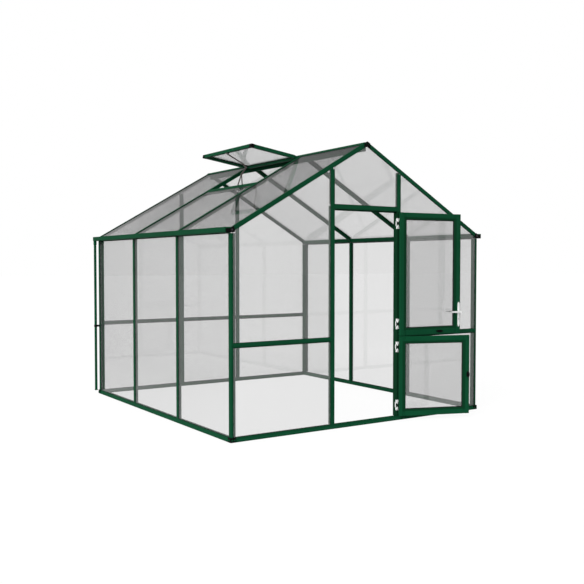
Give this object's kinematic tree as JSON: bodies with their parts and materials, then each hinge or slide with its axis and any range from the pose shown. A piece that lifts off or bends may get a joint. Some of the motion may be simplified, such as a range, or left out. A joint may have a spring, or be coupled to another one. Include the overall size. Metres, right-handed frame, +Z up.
{
  "type": "greenhouse",
  "caption": "Walk-in gabled greenhouse with clear panes, a two-part stable door, an open roof vent, gutters and downpipes.",
  "frame": {"origin": "underside of the front sill, in the middle of the doorway", "axes": "+X across the door gable to the right seen from outside, +Y back into the greenhouse, +Z up"},
  "size_m": [3.062, 3.5477, 2.7508],
  "materials": {
    "green_coat": "satin powder coat, moss green",
    "clear_glass": "clear, faintly grey",
    "black_plastic": "matt black",
    "bright_steel": "bright zinc",
    "opener_steel": "dull grey"
  },
  "bodies": {
    "greenhouse": {"front_sill": "green_coat", "back_sill": "green_coat", "left_sill": "green_coat", "right_sill": "green_coat", "corner_feet": "black_plastic", "corner_posts": "green_coat", "side_wall_bars": "green_coat", "door_posts": "green_coat", "back_posts": "green_coat", "door_header": "green_coat", "front_cross_rails": "green_coat", "back_cross_rails": "green_coat", "gable_rafters": "green_coat", "ridge_beam": "green_coat", "ridge_end_caps": "black_plastic", "left_eave_beam": "green_coat", "right_eave_beam": "green_coat", "left_gutter": "green_coat", "right_gutter": "green_coat", "gutter_end_caps": "black_plastic", "eave_connectors": "black_plastic", "downpipes": "green_coat", "downpipe_clips": "black_plastic", "roof_bars": "green_coat", "vent_sill": "green_coat", "left_panes": "clear_glass", "right_panes": "clear_glass", "front_panes": "clear_glass", "back_panes": "clear_glass", "left_roof_panes": "clear_glass", "right_roof_panes": "clear_glass", "vent_frame": "green_coat", "vent_pane": "clear_glass", "vent_opener": "opener_steel", "hinge_brackets": "bright_steel"},
    "upper_leaf": {"upper_leaf_frame": "green_coat", "upper_leaf_pane": "clear_glass", "upper_hinge_plates": "bright_steel", "handle_plates": "bright_steel", "upper_turn_button": "black_plastic"},
    "lower_leaf": {"lower_leaf_frame": "green_coat", "lower_leaf_pane": "clear_glass", "lower_hinge_plates": "bright_steel", "lower_turn_button": "black_plastic"},
    "door_lever": {"handle_lever": "bright_steel"}
  },
  "joints": [
    {"name": "upper_leaf_hinge", "type": "hinge", "parent": "greenhouse", "child": "upper_leaf", "pos_m": [0.378, -0.008, 1.44], "axis": [0, 0, 1], "range_deg": [-174.3, 0.7]},
    {"name": "lower_leaf_hinge", "type": "hinge", "parent": "greenhouse", "child": "lower_leaf", "pos_m": [0.378, -0.008, 0.435], "axis": [0, 0, 1], "range_deg": [-159.7, 15.3]},
    {"name": "lever_turn", "type": "hinge", "parent": "upper_leaf", "child": "door_lever", "pos_m": [1.09624, -0.1018, 1.048], "axis": [-0.0993, -0.9951, 0], "range_deg": [0, 40]}
  ]
}
